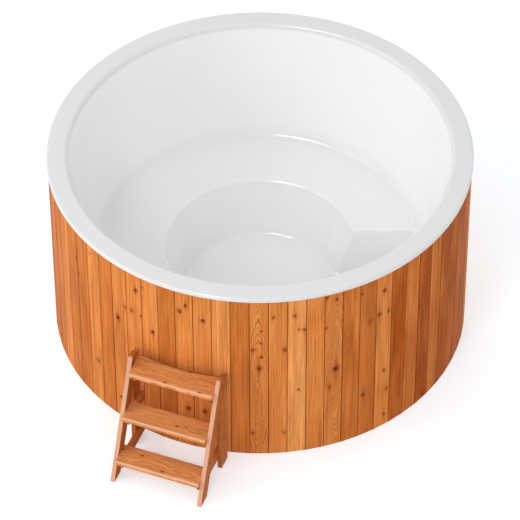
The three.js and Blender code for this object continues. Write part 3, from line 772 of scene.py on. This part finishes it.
def make_boards(material):
    """The 72 boards, each in place of its share of a CAD panel. One is drilled for the outlet."""
    chance = random.Random(BOARD_SEED)
    heights = np.linspace(0, BOARD_TOP, BOARD_ROWS)
    for index in range(BOARD_COUNT):
        outline = board_outline(index, chance.uniform(0, BOARD_UNEVEN))
        count = len(outline)
        vertices = [(p.x, p.y, z) for z in heights for p in outline]
        faces = [tuple(reversed(range(count))), tuple(range(len(vertices) - count, len(vertices)))]
        for i in range(len(heights) - 1):
            for j in range(count):
                k = (j + 1) % count
                faces.append((i * count + j, i * count + k, (i + 1) * count + k, (i + 1) * count + j))
        board = mesh_object(f"board_{index + 1:02d}", vertices, faces, material)
        if index == OUTLET_BOARD:
            outward = board_axes(index)[1]
            low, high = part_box("outlet_flange")
            drill(board, outward * BOARD_OUTER + Vector((0, 0, (low.z + high.z) / 2)), outward, PIPE_RADIUS)
        paint_board(board, index, chance)
        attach(board, "tub")
        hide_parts(f"cladding_{index // BOARDS_PER_PANEL + 1:02d}")


def finish_timber(name, lengthwise, seed, tone, tones, highlight_facing=None, bevel=TIMBER_EASE, gap_shadow_radius=None):
    """Gives a CAD node its own timber: grain along its length, and its thinnest side as thickness."""
    low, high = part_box(name)
    size = high - low
    flat = [axis for axis in range(3) if abs(lengthwise[axis]) < 0.1]
    thick = Vector((0, 0, 0))
    thick[min(flat, key=lambda axis: size[axis])] = 1
    material = timber_material(
        f"{name}_wood", seed, tone, lengthwise, thick, (low + high) / 2, tones, highlight_facing, gap_shadow_radius)
    finish_node(name, material, bevel)


def finish_step():
    """Step: faces turned to the front and up get a pale painted highlight, and the top tread a painted
    shadow where it meets the tub.
    """
    chance = random.Random(STEP_SEED)
    rake = Vector((0, STEP_RAKE, 1)).normalized()
    forward = Vector((0, -1, STEP_RAKE)).normalized()
    nosing = Vector(TREAD_NOSE).normalized()
    pieces = [("step_batten", SIDEWARDS, PIECE_TONE_AND_SHADE["batten"], None)]
    for side in ("left", "right"):
        pieces.append((f"step_stringer_{side}", rake, PIECE_TONE_AND_SHADE["stringer"], forward))
        pieces.append((f"step_leg_{side}", UPRIGHT, PIECE_TONE_AND_SHADE["leg"], None))
    for place in ("bottom", "middle", "top"):
        pieces.append((f"step_tread_{place}", SIDEWARDS, PIECE_TONE_AND_SHADE["tread"], nosing))
        for side in ("left", "right"):
            pieces.append((f"step_rail_{place}_{side}", LEVEL, PIECE_TONE_AND_SHADE["rail"], None))
    for name, lengthwise, tone, highlight_facing in pieces:
        gap_shadow_radius = TREAD_HOLLOW if name == "step_tread_top" else None
        seed = chance.uniform(*TIMBER_SEEDS)
        finish_timber(name, lengthwise, seed, tone, STEP_TONES, highlight_facing, gap_shadow_radius=gap_shadow_radius)


def finish_frame():
    """Hidden frame of sawn timber, plywood and foam."""
    chance = random.Random(FRAME_SEED)
    for name in nodes:
        seed = chance.uniform(*TIMBER_SEEDS)
        if name.startswith("stud_"):
            finish_timber(name, UPRIGHT, seed, PIECE_TONE_AND_SHADE["stud"], FRAME_TONES)
        elif name.startswith("bearer_"):
            finish_timber(name, LEVEL, seed, PIECE_TONE_AND_SHADE["bearer"], FRAME_TONES)
        elif name.endswith("_ring") or name == "base_deck" or name.startswith("bench_rib_"):
            finish_timber(name, SIDEWARDS, seed, PIECE_TONE_AND_SHADE["sheet"], FRAME_TONES, bevel=SHEET_EASE)
    finish_node("floor_pad", plastic_material("foam", FOAM, 0.8, 20.0))


def finish_drain():
    """Drain and valve of steel, brass, plastic and rubber."""
    steel = metal_material("steel", STEEL, 0.3)
    brass = metal_material("brass", BRASS, 0.3)
    pipe = plastic_material("pipe_plastic", PIPE_GREY, 0.4)
    for name in ("drain_strainer", "lever_nut", "outlet_flange"):
        finish_node(name, steel, METAL_EASE)
    for name in ("valve_body", "valve_stem", "hose_tail"):
        finish_node(name, brass, METAL_EASE)
    for name in ("drain_body", "drain_nut", "drain_elbow", "drain_pipe"):
        finish_node(name, pipe, PIPE_EASE)
    finish_node("valve_ball", metal_material("polished_ball", POLISHED_STEEL, 0.12))
    finish_node("drain_gasket", plastic_material("rubber", RUBBER, 0.7))
    finish_node("valve_lever", plastic_material("lever_coating", LEVER_BLUE, 0.45), LEVER_EASE)


def make_floor():
    """Pale floor that is white in the picture and keeps a light shadow."""
    graph = Graph("studio_floor")
    cloud = graph.noise(graph.place(), 1.5, 3.0)
    pale = graph.mix(cloud, *map(rgb, FLOOR_SEEN))
    path = graph.add("ShaderNodeLightPath").outputs
    seen = graph.math("MAXIMUM", path["Is Camera Ray"], path["Is Glossy Ray"])
    seen = graph.math("MAXIMUM", seen, path["Is Transmission Ray"])
    pale = graph.mix(seen, rgb(FLOOR_BOUNCE), pale)
    graph.set(Base_Color=pale, Roughness=0.6, Emission_Color=(1.0, 1.0, 1.0, 1.0),
              Emission_Strength=graph.math("MULTIPLY", seen, FLOOR_GLOW))
    corners = [(FLOOR_SIZE * x, FLOOR_SIZE * y, 0) for x, y in ((-1, -1), (1, -1), (1, 1), (-1, 1))]
    floor = mesh_object("studio_floor", corners, [(0, 1, 2, 3)], graph.material)


def make_world():
    """Surroundings that are white in the picture and in gloss, and light the object a little less."""
    world = bpy.data.worlds.new("studio")
    world.use_nodes = True
    bpy.context.scene.world = world
    tree = world.node_tree
    background = tree.nodes["Background"]
    background.inputs["Color"].default_value = (1.0, 1.0, 1.0, 1.0)
    path = tree.nodes.new("ShaderNodeLightPath")
    strength = tree.nodes.new("ShaderNodeMapRange")
    strength.inputs["To Min"].default_value = AMBIENT
    strength.inputs["To Max"].default_value = 1.0
    seen = path.outputs["Is Camera Ray"]
    for ray in ("Is Glossy Ray", "Is Transmission Ray"):
        either = tree.nodes.new("ShaderNodeMath")
        either.operation = "MAXIMUM"
        tree.links.new(seen, either.inputs[0])
        tree.links.new(path.outputs[ray], either.inputs[1])
        seen = either.outputs[0]
    tree.links.new(seen, strength.inputs["Value"])
    tree.links.new(strength.outputs[0], background.inputs["Strength"])


def make_lamps():
    """Two soft lamps from the camera's left, and a strip that shows in gloss only. All face the tub."""
    for name, azimuth, elevation, distance, (width, height), power, diffuse in LIGHTS:
        light = bpy.data.lights.new(name, "AREA")
        light.shape = "ELLIPSE"
        light.size = width
        light.size_y = height
        light.energy = power
        lamp = bpy.data.objects.new(name, light)
        lamp.visible_diffuse = diffuse
        turn = Matrix.Rotation(CAMERA_AZIMUTH + math.radians(azimuth), 3, "Z")
        rise = math.radians(elevation)
        lamp.location = turn @ Vector((0, -distance * math.cos(rise), distance * math.sin(rise)))
        lamp.rotation_mode = "QUATERNION"
        lamp.rotation_quaternion = lamp.location.to_track_quat("Z", "Y")
        bpy.context.scene.collection.objects.link(lamp)


make_camera()
make_floor()
make_world()
make_lamps()
make_liner(gelcoat_material())
make_boards(board_material())
finish_step()
finish_frame()
finish_drain()
bpy.context.scene.view_settings.view_transform = "Standard"
